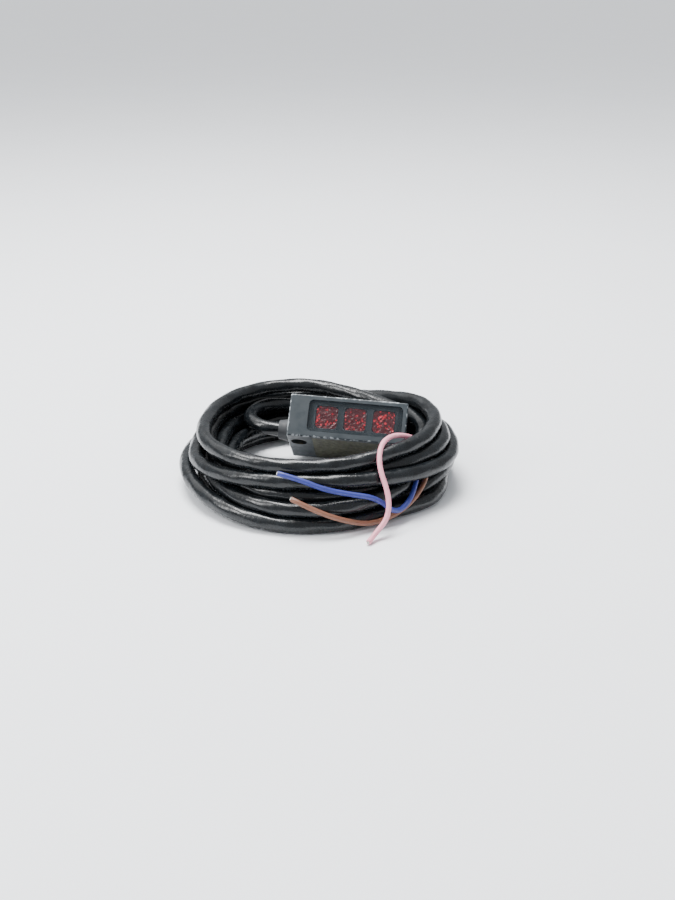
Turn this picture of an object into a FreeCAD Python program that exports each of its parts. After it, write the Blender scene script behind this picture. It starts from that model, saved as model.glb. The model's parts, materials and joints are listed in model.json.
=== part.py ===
"""Miniature photoelectric sensor: a rectangular head leaning in the loose coil of its own cable.

The head is modelled in its own frame: x runs from the cable end to the control end, y from the
window face to the rear cover, and z through the thickness. One placement then tips it back until
its rear lower edge rests on the floor, z = 0, and centres it over the origin. The cable, its coil
and the stripped cores are modelled straight in that floor frame. Millimetres and degrees.
"""

import FreeCAD, Part
import math
import os
import re

from FreeCAD import Vector
from Sketcher import Constraint

# Driving dimensions. Every one is a cell of the sheet and can be changed by itself.
SIZES = {
    "head_length": 31.0,
    "head_depth": 20.0,
    "head_thickness": 11.5,
    "edge_round": 0.4,
    "side_wall": 1.2,
    "end_wall": 1.2,
    "front_wall": 2.2,
    "fit_gap": 0.05,
    "running_gap": 0.05,
    # window face
    "panel_start": 5.1,
    "panel_end_border": 1.2,
    "panel_low_border": 1.6,
    "panel_high_border": 1.2,
    "panel_corner": 1.3,
    "panel_thickness": 0.8,
    "mask_thickness": 0.2,
    "window_width": 6.2,
    "window_height": 6.6,
    "window_pitch": 7.5,
    # optics behind the windows
    "lens_bulge": 0.7,
    "tunnel_wall": 0.35,
    "chip_radius": 1.5,
    "chip_height": 1.2,
    "chip_base": 0.6,
    # rear cover
    "cover_thickness": 1.2,
    "cover_lip": 0.6,
    "cover_rim_height": 0.8,
    "cover_rim_wall": 0.7,
    # mounting holes
    "hole_end_distance": 2.9,
    "hole_pitch": 25.4,
    "near_hole_setback": 5.6,
    "far_hole_rear_distance": 4.0,
    "boss_radius": 2.6,
    "recess_radius": 2.15,
    "recess_depth": 1.2,
    "insert_radius": 1.95,
    "thread_radius": 1.25,
    # boards
    "board_rear_distance": 11.8,
    "board_thickness": 0.8,
    "board_clearance": 0.4,
    "shield_length": 8.6,
    "shield_height": 2.4,
    "shield_side_gap": 1.0,
    "display_board_thickness": 0.4,
    "display_led_height": 0.6,
    "display_led_size": 1.4,
    "display_spacing": 4.2,
    "display_setback": 4.7,
    "guide_width": 2.0,
    "guide_length": 6.6,
    "guide_corner": 0.5,
    # controls
    "control_gap": 0.3,
    "dial_spacing": 4.9,
    "dial_radius": 1.85,
    "dial_inset": 0.15,
    "stem_radius": 0.9,
    "stem_length": 2.3,
    "slot_width": 0.5,
    "slot_depth": 0.45,
    "control_body_size": 3.8,
    "control_body_length": 2.5,
    "seal_thickness": 0.8,
    "seal_radius": 1.7,
    # cable entry
    "cable_radius": 2.0,
    "cable_rear_distance": 5.0,
    "gland_neck_radius": 2.8,
    "gland_flange_radius": 3.5,
    "gland_flange_thickness": 1.2,
    "gland_collar_radius": 3.2,
    "gland_collar_length": 0.8,
    "gland_tip_radius": 2.6,
    "gland_length": 4.0,
    "gland_bend_point": 3.2,
    "clamp_thickness": 0.6,
    "clamp_width": 1.4,
    "jacket_stub": 1.6,
    "core_radius": 0.65,
    "core_spread": 1.9,
    # blank label on the lower side
    "label_start": 6.6,
    "label_border": 1.2,
    "label_thickness": 0.15,
    # how the head lies
    "head_turn": -6.3,
    "head_tilt": 2.7,
    "head_lean": -41.2,
    # coil
    "coil_centre_x": -8.2,
    "coil_centre_y": -4.5,
    "coil_half_width": 37.8,
    "coil_half_depth": 35.0,
    "coil_hole_centre_x": -5.5,
    "coil_hole_centre_y": -1.0,
    "coil_side_room": 10.5,
    "coil_hole_half_depth": 22.0,
    "coil_height": 17.0,
    "coil_round": 6.0,
}

# Worked-out places in the head's frame, as expressions of the sizes above.
MID_THICKNESS = "head_thickness / 2"
PANEL_MID_X = "((panel_start + head_length - panel_end_border) / 2)"
PANEL_MID_Z = "((panel_low_border + head_thickness - panel_high_border) / 2)"
LENS_FACE = "(panel_thickness + mask_thickness)"
HOLDER_BACK = "(head_depth - board_rear_distance)"
BOARD_BACK = "(head_depth - board_rear_distance + board_thickness)"
BOARD_START = "(hole_end_distance + boss_radius + board_clearance)"
CABLE_SETBACK = "(head_depth - cable_rear_distance)"
FAR_HOLE_SETBACK = "(head_depth - far_hole_rear_distance)"
FAR_HOLE_X = "(hole_end_distance + hole_pitch)"
END_INSIDE = "(head_length - end_wall)"
CONTROL_FACE = "(head_length - end_wall - seal_thickness)"
CONTROL_REAR = f"({FAR_HOLE_SETBACK} - boss_radius - control_gap)"
CONTROL_FRONT = f"({CONTROL_REAR} - control_body_size)"
CONTROL_BOARD_X = f"({CONTROL_FACE} - control_body_length - board_thickness)"
DIAL_SETBACK = f"({CONTROL_REAR} - control_body_size / 2)"
DISPLAY_FACE = "(head_length - end_wall - display_led_height - fit_gap)"
COVER_FACE = "(head_depth - cover_thickness)"
WINDOW_STEPS = {"emitter": -1, "near_receiver": 0, "far_receiver": 1}

# The cable's route from the gland to the coil, a tight open loop behind the head.
LEAD_POINTS = [
    (-25.3, 7.2, 9.5),
    (-28.4, 13.4, 9.9),
    (-25.4, 19.7, 10.3),
    (-19.0, 22.7, 10.5),
    (-12.2, 23.4, 10.5),
]

# The stripped cores' routes, from the end of the jacket in the coil.
CORE_POINTS = {
    "wire_pink": [
        (19.4, -11.0, 11.5),
        (17.7, -14.8, 15.4),
        (14.5, -17.6, 18.1),
        (10.5, -20.0, 19.0),
        (7.5, -24.4, 18.6),
        (6.9, -29.6, 15.0),
        (7.7, -33.6, 9.6),
        (7.5, -36.6, 4.6),
        (5.9, -39.2, 1.4),
        (4.3, -41.9, 0.8),
    ],
    "wire_blue": [
        (19.9, -12.2, 10.4),
        (18.5, -16.6, 9.4),
        (17.1, -21.4, 8.2),
        (14.5, -26.0, 6.2),
        (10.1, -29.6, 5.0),
        (4.9, -32.6, 6.4),
        (-0.7, -34.4, 8.6),
        (-6.7, -34.8, 11.4),
        (-12.3, -34.0, 13.6),
        (-17.5, -33.2, 14.8),
    ],
    "wire_brown": [
        (20.5, -11.6, 9.6),
        (20.3, -16.2, 8.0),
        (18.9, -21.4, 6.0),
        (15.5, -27.0, 3.8),
        (10.7, -31.4, 2.2),
        (4.9, -35.0, 1.8),
        (-1.3, -37.6, 2.8),
        (-7.7, -38.4, 5.0),
        (-13.9, -36.6, 7.6),
    ],
    "wire_black": [
        (18.9, -11.6, 9.8),
        (16.3, -14.6, 7.0),
        (12.5, -17.4, 4.2),
        (7.9, -19.4, 2.2),
        (2.9, -20.4, 1.2),
        (-2.7, -20.4, 0.8),
        (-8.2, -19.8, 0.8),
    ],
}

ARC_SHARE = 0.45  # part of the shorter run that an arc may take
OVAL_SHARE = 0.92  # corner radius of the coil's outline, as a share of its smaller half size
CORE_PLACE = 0.355  # a core's offset from the cable axis each way, as a share of the spread
VOLUME_TOLERANCE = 0.02  # share by which a tube may differ from its length times its section
SMALLEST_CUT = 1e-6  # cubic millimetres
EDGE_TOLERANCE = 1e-3

doc = FreeCAD.newDocument("photoelectric_sensor")


# ---------------------------------------------------------------- sheet and binding


def make_sheet():
    """Put every driving dimension in a cell of its own, with its name as the alias."""
    sheet = doc.addObject("Spreadsheet::Sheet", "Sizes")
    for row, (name, value) in enumerate(SIZES.items(), start=1):
        sheet.set(f"A{row}", name)
        sheet.set(f"B{row}", str(value))
        sheet.setAlias(f"B{row}", name)
    doc.recompute()
    return sheet


def cells(expression):
    """Point each size named in an expression at its cell."""
    return re.sub(r"[a-z_]+", lambda word: named_cell(word.group()), str(expression))


def named_cell(word):
    return f"Sizes.{word}" if word in SIZES else word


def bind(target, **expressions):
    """Bind properties of an object to expressions of the sizes."""
    for name, expression in expressions.items():
        target.setExpression(name, cells(expression))


def bind_place(target, x="0", y="0", z="0"):
    """Bind where an object stands in the head's frame."""
    for axis, expression in zip("xyz", (x, y, z)):
        target.setExpression(f".Placement.Base.{axis}", cells(expression))


# ---------------------------------------------------------------- solids from primitives


def box(name, low, size):
    """A box from its low corner and its size along x, y and z."""
    solid = doc.addObject("Part::Box", name)
    bind(solid, Length=size[0], Width=size[1], Height=size[2])
    bind_place(solid, *low)
    return solid


def cylinder(name, radius, length, start, axis="z"):
    """A cylinder that runs from its start point along x, y or z."""
    solid = doc.addObject("Part::Cylinder", name)
    turns = {"x": (Vector(0, 1, 0), 90), "y": (Vector(1, 0, 0), -90), "z": (Vector(0, 0, 1), 0)}
    solid.Placement = FreeCAD.Placement(Vector(), FreeCAD.Rotation(*turns[axis]))
    bind(solid, Radius=radius, Height=length)
    bind_place(solid, *start)
    return solid


def cut(name, base, *tools):
    """The base with every tool taken out of it."""
    result = doc.addObject("Part::Cut", name)
    result.Base = base
    result.Tool = tools[0] if len(tools) == 1 else join(name + "_tools", *tools)
    return result


def join(name, *pieces):
    result = doc.addObject("Part::MultiFuse", name)
    result.Shapes = list(pieces)
    return result


def group(name, *pieces):
    """Separate solids kept side by side in one sub-part."""
    result = doc.addObject("Part::Compound", name)
    result.Links = list(pieces)
    return result


# ---------------------------------------------------------------- solids from sketches


def make_body(name):
    return doc.addObject("PartDesign::Body", name)


def base_plane(body, role):
    return next(item for item in body.Origin.OriginFeatures if item.Role == role)


def sketch_on(body, name, role, offset="0"):
    """An empty sketch parallel to one of the body's origin planes."""
    sketch = body.newObject("Sketcher::SketchObject", name)
    sketch.AttachmentSupport = [(base_plane(body, role), "")]
    sketch.MapMode = "FlatFace"
    sketch.setExpression(".AttachmentOffset.Base.z", cells(offset))
    return sketch


def dimension(sketch, name, kind, *where, expression):
    """Add a named constraint and bind it to the sizes."""
    index = sketch.addConstraint(Constraint(kind, *where))
    sketch.renameConstraint(index, name)
    sketch.setExpression(f"Constraints.{name}", cells(expression))


def draw_circle(sketch, name, x, y, radius):
    circle = sketch.addGeometry(Part.Circle(Vector(1, 1, 0), Vector(0, 0, 1), 1), False)
    dimension(sketch, name + "_x", "DistanceX", -1, 1, circle, 3, 1.0, expression=x)
    dimension(sketch, name + "_y", "DistanceY", -1, 1, circle, 3, 1.0, expression=y)
    dimension(sketch, name + "_radius", "Radius", circle, 1.0, expression=radius)


def draw_rectangle(sketch, left, low, wide, tall, corner=None):
    """A rectangle from its lower left corner, with rounded corners if a radius is given."""
    sides = [((1, 0), (3, 0)), ((4, 1), (4, 3)), ((3, 4), (1, 4)), ((0, 3), (0, 1))]
    if corner is None:
        sides = [((0, 0), (4, 0)), ((4, 0), (4, 4)), ((4, 4), (0, 4)), ((0, 4), (0, 0))]
    for start, end in sides:
        sketch.addGeometry(Part.LineSegment(Vector(*start, 0), Vector(*end, 0)), False)
    if corner is None:
        for side in range(4):
            sketch.addConstraint(Constraint("Coincident", side, 2, (side + 1) % 4, 1))
    else:
        round_corners(sketch, corner)
    for side, direction in enumerate(("Horizontal", "Vertical", "Horizontal", "Vertical")):
        sketch.addConstraint(Constraint(direction, side))
    dimension(sketch, "left", "DistanceX", -1, 1, 3, 1, 1.0, expression=left)
    dimension(sketch, "low", "DistanceY", -1, 1, 0, 1, 1.0, expression=low)
    dimension(sketch, "wide", "DistanceX", 3, 1, 1, 1, 4.0, expression=wide)
    dimension(sketch, "tall", "DistanceY", 0, 1, 2, 1, 4.0, expression=tall)


def round_corners(sketch, radius):
    """Close four separate sides with equal tangent arcs."""
    centres = [(3, 1), (3, 3), (1, 3), (1, 1)]
    for corner, centre in enumerate(centres):
        circle = Part.Circle(Vector(*centre, 0), Vector(0, 0, 1), 1)
        start = (corner - 1) * math.pi / 2
        arc = sketch.addGeometry(Part.ArcOfCircle(circle, start, start + math.pi / 2), False)
        sketch.addConstraint(Constraint("Tangent", corner, 2, arc, 1))
        sketch.addConstraint(Constraint("Tangent", arc, 2, (corner + 1) % 4, 1))
        if corner:
            sketch.addConstraint(Constraint("Equal", arc, 4))
    dimension(sketch, "corner", "Radius", 4, 1.0, expression=radius)


def pad(body, sketch, length, reverse=False):
    feature = body.newObject("PartDesign::Pad", sketch.Name + "_pad")
    feature.Profile = sketch
    feature.Reversed = reverse
    bind(feature, Length=length)
    return feature


def pocket(body, sketch, depth, reverse=False):
    """Cut a sketch into the body, against the sketch's normal unless reversed."""
    doc.recompute()
    before = body.Shape.Volume
    feature = body.newObject("PartDesign::Pocket", sketch.Name + "_pocket")
    feature.Profile = sketch
    feature.Reversed = reverse
    bind(feature, Length=depth)
    doc.recompute()
    if body.Shape.Volume > before - SMALLEST_CUT:
        raise RuntimeError(f"{feature.Name} takes nothing off {body.Name}")
    return feature


def round_edges(body, feature, edges, radius):
    """Round the named edges of the body's last feature."""
    rounded = body.newObject("PartDesign::Fillet", feature.Name + "_edges")
    rounded.Base = (feature, edges)
    bind(rounded, Radius=radius)


def slab(name, low, size):
    """A square-edged block as a body of its own, from its low corner and its size."""
    body = make_body(name)
    outline = sketch_on(body, name + "_outline", "XY_Plane", low[2])
    draw_rectangle(outline, low[0], low[1], size[0], size[1])
    pad(body, outline, size[2])
    return body


def revolve(body, sketch):
    """Turn a sketch on the XY plane about the body's x axis."""
    feature = body.newObject("PartDesign::Revolution", sketch.Name + "_turned")
    feature.Profile = sketch
    feature.ReferenceAxis = (sketch, ["H_Axis"])
    feature.Angle = 360
    return feature


def draw_profile(sketch, corners):
    """A closed outline with a named distance to each corner, for turned parts."""
    count = len(corners)
    turns = [2 * math.pi * number / count for number in range(count)]
    places = [Vector(2 + math.cos(turn), 2 + math.sin(turn), 0) for turn in turns]
    for start, end in zip(places, places[1:] + places[:1]):
        sketch.addGeometry(Part.LineSegment(start, end), False)
    for side in range(count):
        sketch.addConstraint(Constraint("Coincident", side, 2, (side + 1) % count, 1))
    for side, (along, out) in enumerate(corners):
        dimension(sketch, f"along_{side}", "DistanceX", -1, 1, side, 1, 1.0, expression=along)
        dimension(sketch, f"out_{side}", "DistanceY", -1, 1, side, 1, 1.0, expression=out)


# ---------------------------------------------------------------- housing and covers


def make_housing():
    """The moulded case: one open rear, a panel recess, three windows and two screw bosses."""
    body = make_body("housing")
    block = sketch_on(body, "case", "XY_Plane")
    draw_rectangle(block, "0", "0", "head_length", "head_depth")
    solid_block = pad(body, block, "head_thickness")
    doc.recompute()
    all_edges = [f"Edge{number}" for number in range(1, 13)]
    round_edges(body, solid_block, all_edges, "edge_round")

    hollow = sketch_on(body, "hollow", "XZ_Plane", "-front_wall")
    draw_rectangle(
        hollow,
        "end_wall",
        "side_wall",
        "head_length - 2 * end_wall",
        "head_thickness - 2 * side_wall",
    )
    pocket(body, hollow, "head_depth - front_wall")
    cover_seat = sketch_on(body, "cover_seat", "XZ_Plane", f"-{COVER_FACE}")
    draw_rectangle(
        cover_seat,
        "cover_lip",
        "cover_lip",
        "head_length - 2 * cover_lip",
        "head_thickness - 2 * cover_lip",
    )
    pocket(body, cover_seat, "cover_thickness")

    for name, x, y in mounting_holes():
        boss = sketch_on(body, name + "_boss", "XY_Plane", "side_wall / 2")
        draw_circle(boss, "boss", x, y, "boss_radius")
        pad(body, boss, "head_thickness - side_wall")
    cut_face(body)
    cut_mounting_holes(body)
    cut_ends(body)

    label = sketch_on(body, "label_recess", "XY_Plane")
    draw_rectangle(label, *label_outline("0"))
    pocket(body, label, "label_thickness", reverse=True)
    return body


def mounting_holes():
    return (
        ("near", "hole_end_distance", "near_hole_setback"),
        ("far", FAR_HOLE_X, FAR_HOLE_SETBACK),
    )


def cut_face(body):
    """The stepped recess of the front panel and the three window openings."""
    recess = sketch_on(body, "panel_recess", "XZ_Plane")
    draw_rectangle(recess, *panel_outline("0"), corner="panel_corner")
    pocket(body, recess, LENS_FACE)
    for name, step in WINDOW_STEPS.items():
        opening = sketch_on(body, name + "_opening", "XZ_Plane", f"-{LENS_FACE}")
        draw_rectangle(opening, *window_outline(step, "0"))
        pocket(body, opening, f"front_wall - {LENS_FACE}")


def panel_outline(gap):
    return (
        f"panel_start + {gap}",
        f"panel_low_border + {gap}",
        f"head_length - panel_end_border - panel_start - 2 * {gap}",
        f"head_thickness - panel_high_border - panel_low_border - 2 * {gap}",
    )


def window_outline(step, gap):
    return (
        f"{PANEL_MID_X} + ({step}) * window_pitch - window_width / 2 + {gap}",
        f"{PANEL_MID_Z} - window_height / 2 + {gap}",
        f"window_width - 2 * {gap}",
        f"window_height - 2 * {gap}",
    )


def label_outline(gap):
    return (
        f"label_start + {gap}",
        f"label_border + {gap}",
        f"{FAR_HOLE_X} - recess_radius - label_border - label_start - 2 * {gap}",
        f"head_depth - 2 * label_border - 2 * {gap}",
    )


def cut_mounting_holes(body):
    for name, x, y in mounting_holes():
        hole = sketch_on(body, name + "_hole", "XY_Plane")
        draw_circle(hole, "hole", x, y, "insert_radius")
        pocket(body, hole, "head_thickness", reverse=True)
        for side, offset, reverse in (("low", "0", True), ("high", "head_thickness", False)):
            recess = sketch_on(body, f"{name}_{side}_recess", "XY_Plane", offset)
            draw_circle(recess, "recess", x, y, "recess_radius")
            pocket(body, recess, "recess_depth", reverse=reverse)


def cut_ends(body):
    """The cable hole at one end, the dial holes and the indicator slot at the other."""
    entry = sketch_on(body, "cable_entry", "YZ_Plane")
    draw_circle(entry, "entry", CABLE_SETBACK, MID_THICKNESS, "gland_neck_radius")
    pocket(body, entry, "end_wall", reverse=True)
    for name, side in dial_sides():
        hole = sketch_on(body, name + "_dial_hole", "YZ_Plane", "head_length")
        draw_circle(hole, "dial", DIAL_SETBACK, dial_height(side), "dial_radius + running_gap")
        pocket(body, hole, "end_wall")
    slot = sketch_on(body, "indicator_slot", "YZ_Plane", "head_length")
    draw_rectangle(
        slot,
        "display_setback - guide_width / 2",
        f"{MID_THICKNESS} - guide_length / 2",
        "guide_width",
        "guide_length",
    )
    pocket(body, slot, "end_wall")


def dial_sides():
    return (("sensitivity", -1), ("mode", 1))


def dial_height(side):
    return f"{MID_THICKNESS} + ({side}) * dial_spacing / 2"


def make_rear_cover():
    """A plate in the rear seat, with a rim inside the walls that stops at the boss and the gland."""
    plate = box(
        "cover_plate",
        ("cover_lip + fit_gap", COVER_FACE, "cover_lip + fit_gap"),
        (
            "head_length - 2 * (cover_lip + fit_gap)",
            "cover_thickness",
            "head_thickness - 2 * (cover_lip + fit_gap)",
        ),
    )
    rim_gap = "(side_wall + fit_gap)"
    rim_end_gap = "(end_wall + fit_gap)"
    rim = box(
        "cover_rim",
        (rim_end_gap, f"{COVER_FACE} - cover_rim_height", rim_gap),
        (
            f"head_length - 2 * {rim_end_gap}",
            "cover_rim_height",
            f"head_thickness - 2 * {rim_gap}",
        ),
    )
    inside = box(
        "cover_rim_inside",
        (
            f"{rim_end_gap} + cover_rim_wall",
            f"{COVER_FACE} - cover_rim_height",
            f"{rim_gap} + cover_rim_wall",
        ),
        (
            f"head_length - 2 * ({rim_end_gap} + cover_rim_wall)",
            "cover_rim_height",
            f"head_thickness - 2 * ({rim_gap} + cover_rim_wall)",
        ),
    )
    for_boss = cylinder(
        "cover_boss_room",
        "boss_radius + fit_gap",
        "head_thickness",
        (FAR_HOLE_X, FAR_HOLE_SETBACK, "0"),
    )
    for_gland = cylinder(
        "cover_gland_room",
        "gland_flange_radius + fit_gap",
        "end_wall + gland_flange_thickness + clamp_width",
        ("0", CABLE_SETBACK, MID_THICKNESS),
        "x",
    )
    rim = cut("cover_rim_ring", rim, inside, for_boss, for_gland)
    return join("rear_cover", plate, rim)


def make_label():
    """The blank label, in its shallow recess on the lower side."""
    left, low, wide, tall = label_outline("fit_gap")
    return slab("rating_label", (left, low, "0"), (wide, tall, "label_thickness"))


# ---------------------------------------------------------------- window panel and optics


def make_panel():
    """The clear cover over all three windows."""
    body = make_body("lens_cover")
    sheet = sketch_on(body, "panel_sheet", "XZ_Plane")
    draw_rectangle(sheet, *panel_outline("fit_gap"), corner="panel_corner - fit_gap")
    pad(body, sheet, "panel_thickness", reverse=True)
    return body


def make_mask():
    """The thin dark frame behind the panel, open at each window."""
    body = make_body("window_mask")
    frame = sketch_on(body, "mask_sheet", "XZ_Plane", "-panel_thickness")
    draw_rectangle(frame, *panel_outline("fit_gap"), corner="panel_corner - fit_gap")
    pad(body, frame, "mask_thickness", reverse=True)
    for name, step in WINDOW_STEPS.items():
        opening = sketch_on(body, name + "_mask_opening", "XZ_Plane", "-panel_thickness")
        draw_rectangle(opening, *window_outline(step, "0"))
        pocket(body, opening, "mask_thickness")
    return body


def make_lens(name, step):
    """A square window plug with a shallow round lens on its inner side."""
    left, low, wide, tall = window_outline(step, "fit_gap")
    plug = box(
        name + "_plug",
        (left, LENS_FACE, low),
        (wide, f"front_wall - {LENS_FACE}", tall),
    )
    bulge = doc.addObject("Part::Cone", name + "_bulge")
    bulge.Placement = FreeCAD.Placement(Vector(), FreeCAD.Rotation(Vector(1, 0, 0), -90))
    bind(
        bulge,
        Radius1="window_width / 2 - tunnel_wall - fit_gap",
        Radius2="(window_width / 2 - tunnel_wall) / 2",
        Height="lens_bulge",
    )
    bind_place(bulge, f"{PANEL_MID_X} + ({step}) * window_pitch", "front_wall", PANEL_MID_Z)
    return join(name, plug, bulge)


def make_holder():
    """The black block that keeps light from crossing between the windows, clear of the controls."""
    left = f"({PANEL_MID_X} - window_pitch - window_width / 2 - tunnel_wall)"
    right = f"({DISPLAY_FACE} - display_board_thickness)"
    block = box(
        "holder_block",
        (left, "front_wall", "side_wall + board_clearance"),
        (
            f"{right} - {left}",
            f"{HOLDER_BACK} - front_wall",
            "head_thickness - 2 * (side_wall + board_clearance)",
        ),
    )
    for_controls = box(
        "holder_control_room",
        (f"{CONTROL_BOARD_X} - board_clearance", f"{CONTROL_FRONT} - control_gap", "0"),
        ("head_length", "head_depth", "head_thickness"),
    )
    tunnels = [make_tunnel(name, step) for name, step in WINDOW_STEPS.items()]
    return cut("optics_holder", block, for_controls, *tunnels)


def make_tunnel(name, step):
    return box(
        name + "_tunnel",
        (
            f"{PANEL_MID_X} + ({step}) * window_pitch - window_width / 2 + tunnel_wall",
            "front_wall",
            f"{PANEL_MID_Z} - window_width / 2 + tunnel_wall",
        ),
        (
            "window_width - 2 * tunnel_wall",
            f"{HOLDER_BACK} - front_wall",
            "window_width - 2 * tunnel_wall",
        ),
    )


def make_chip(name, step):
    """An emitter or receiver: a round lens on a square base, soldered to the main board."""
    x = f"{PANEL_MID_X} + ({step}) * window_pitch"
    base = box(
        name + "_base",
        (f"{x} - chip_radius", f"{HOLDER_BACK} - chip_base", f"{PANEL_MID_Z} - chip_radius"),
        ("2 * chip_radius", "chip_base", "2 * chip_radius"),
    )
    dome = doc.addObject("Part::Cone", name + "_dome")
    dome.Placement = FreeCAD.Placement(Vector(), FreeCAD.Rotation(Vector(1, 0, 0), 90))
    bind(dome, Radius1="chip_radius", Radius2="chip_radius / 2", Height="chip_height")
    bind_place(dome, x, f"{HOLDER_BACK} - chip_base", PANEL_MID_Z)
    return join(name, base, dome)


# ---------------------------------------------------------------- boards and indicators


def make_main_board():
    return slab(
        "main_board",
        (BOARD_START, HOLDER_BACK, "side_wall + board_clearance"),
        (
            f"{CONTROL_BOARD_X} - board_clearance - {BOARD_START}",
            "board_thickness",
            "head_thickness - 2 * (side_wall + board_clearance)",
        ),
    )


def make_shield():
    """The folded metal can over the receiver amplifier."""
    low_z = "(side_wall + board_clearance + shield_side_gap)"
    start = f"({PANEL_MID_X} - shield_length / 2)"
    can = box(
        "shield_can",
        (start, BOARD_BACK, low_z),
        ("shield_length", "shield_height", f"head_thickness - 2 * {low_z}"),
    )
    wall = "display_board_thickness"
    inside = box(
        "shield_inside",
        (f"{start} + {wall}", BOARD_BACK, f"{low_z} + {wall}"),
        (
            f"shield_length - 2 * {wall}",
            f"shield_height - {wall}",
            f"head_thickness - 2 * ({low_z} + {wall})",
        ),
    )
    return cut("signal_shield", can, inside)


def make_control_board():
    """The upright board behind the controls, from the main board to the controls' rear."""
    return slab(
        "control_board",
        (
            CONTROL_BOARD_X,
            f"{BOARD_BACK} + control_gap",
            "side_wall + board_clearance",
        ),
        (
            "board_thickness",
            f"{CONTROL_REAR} - {BOARD_BACK} - control_gap",
            "head_thickness - 2 * (side_wall + board_clearance)",
        ),
    )


def make_indicator_board():
    return slab(
        "indicator_board",
        (
            f"{DISPLAY_FACE} - display_board_thickness",
            "display_setback - (guide_width + board_clearance) / 2",
            f"{MID_THICKNESS} - guide_length / 2",
        ),
        ("display_board_thickness", "guide_width + board_clearance", "guide_length"),
    )


def make_display_led(name, side):
    return slab(
        name,
        (
            DISPLAY_FACE,
            "display_setback - display_led_size / 2",
            f"{MID_THICKNESS} + ({side}) * display_spacing / 2 - display_led_size / 2",
        ),
        ("display_led_height", "display_led_size", "display_led_size"),
    )


def make_light_guide():
    """The clear bar that fills the indicator slot, flush with the case."""
    body = make_body("light_guide")
    bar = sketch_on(body, "guide_bar", "YZ_Plane", END_INSIDE)
    draw_rectangle(
        bar,
        "display_setback - guide_width / 2 + fit_gap",
        f"{MID_THICKNESS} - guide_length / 2 + fit_gap",
        "guide_width - 2 * fit_gap",
        "guide_length - 2 * fit_gap",
        corner="guide_corner",
    )
    pad(body, bar, "end_wall")
    return body


# ---------------------------------------------------------------- controls


def make_control_body(name, side):
    """The square body of a potentiometer or switch, with a blind bore for its dial's stem."""
    block = box(
        name + "_block",
        (
            f"{CONTROL_FACE} - control_body_length",
            CONTROL_FRONT,
            f"{dial_height(side)} - control_body_size / 2",
        ),
        ("control_body_length", "control_body_size", "control_body_size"),
    )
    bore = cylinder(
        name + "_bore",
        "stem_radius + running_gap",
        "stem_length - seal_thickness",
        (f"{CONTROL_FACE} - stem_length + seal_thickness", DIAL_SETBACK, dial_height(side)),
        "x",
    )
    return cut(name, block, bore)


def make_dial(name, side):
    """A screwdriver dial: a slotted head in the end wall and a stem into its control body."""
    z = dial_height(side)
    head_start = f"{END_INSIDE} + running_gap"
    head = cylinder(
        name + "_head",
        "dial_radius",
        "end_wall - running_gap - dial_inset",
        (head_start, DIAL_SETBACK, z),
        "x",
    )
    stem = cylinder(
        name + "_stem",
        "stem_radius",
        "stem_length",
        (f"{head_start} - stem_length", DIAL_SETBACK, z),
        "x",
    )
    slot = box(
        name + "_slot",
        (
            "head_length - dial_inset - slot_depth",
            f"{DIAL_SETBACK} - dial_radius",
            f"{z} - slot_width / 2",
        ),
        ("slot_depth", "2 * dial_radius", "slot_width"),
    )
    return cut(name, join(name + "_blank", head, stem), slot)


def make_dial_seals():
    return group("dial_seals", *[make_seal(name, side) for name, side in dial_sides()])


def make_seal(name, side):
    start = (CONTROL_FACE, DIAL_SETBACK, dial_height(side))
    ring = cylinder(name + "_seal_ring", "seal_radius", "seal_thickness", start, "x")
    eye = cylinder(
        name + "_seal_eye", "stem_radius + running_gap", "seal_thickness", start, "x"
    )
    return cut(name + "_seal", ring, eye)


# ---------------------------------------------------------------- inserts and cable entry


def make_insert(name, x, y):
    """A brass sleeve moulded into the case, tapped from end to end."""
    start = (x, y, "recess_depth")
    length = "head_thickness - 2 * recess_depth"
    sleeve = cylinder(name + "_sleeve", "insert_radius", length, start)
    thread = cylinder(name + "_thread", "thread_radius", length, start)
    return cut(name + "_insert", sleeve, thread)


def turned_body(name, corners):
    """A ring turned about the cable's axis, from corners given as (along, out)."""
    body = make_body(name)
    outline = sketch_on(body, name + "_outline", "XY_Plane")
    draw_profile(outline, corners)
    revolve(body, outline)
    return body


def make_gland():
    """The rubber bush that grips the jacket: flange inside, collar and taper outside."""
    corners = [
        ("end_wall + gland_flange_thickness", "cable_radius"),
        ("end_wall + gland_flange_thickness", "gland_flange_radius"),
        ("end_wall", "gland_flange_radius"),
        ("end_wall", "gland_neck_radius"),
        ("0", "gland_neck_radius"),
        ("0", "gland_collar_radius"),
        ("-gland_collar_length", "gland_collar_radius"),
        ("-gland_length", "gland_tip_radius"),
        ("-gland_length", "cable_radius"),
    ]
    return turned_body("cable_gland", corners)


def make_clamp():
    """The crimped ring that stops the jacket pulling back through the gland."""
    start = "end_wall + gland_flange_thickness"
    corners = [
        (start, "cable_radius"),
        (f"{start} + clamp_width", "cable_radius"),
        (f"{start} + clamp_width", "cable_radius + clamp_thickness"),
        (start, "cable_radius + clamp_thickness"),
    ]
    return turned_body("cable_clamp", corners)


def jacket_reach(sizes):
    """How far inside the cable end the jacket stops."""
    return sizes.end_wall + sizes.gland_flange_thickness + sizes.jacket_stub


def cable_setback(sizes):
    return sizes.head_depth - sizes.cable_rear_distance


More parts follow.
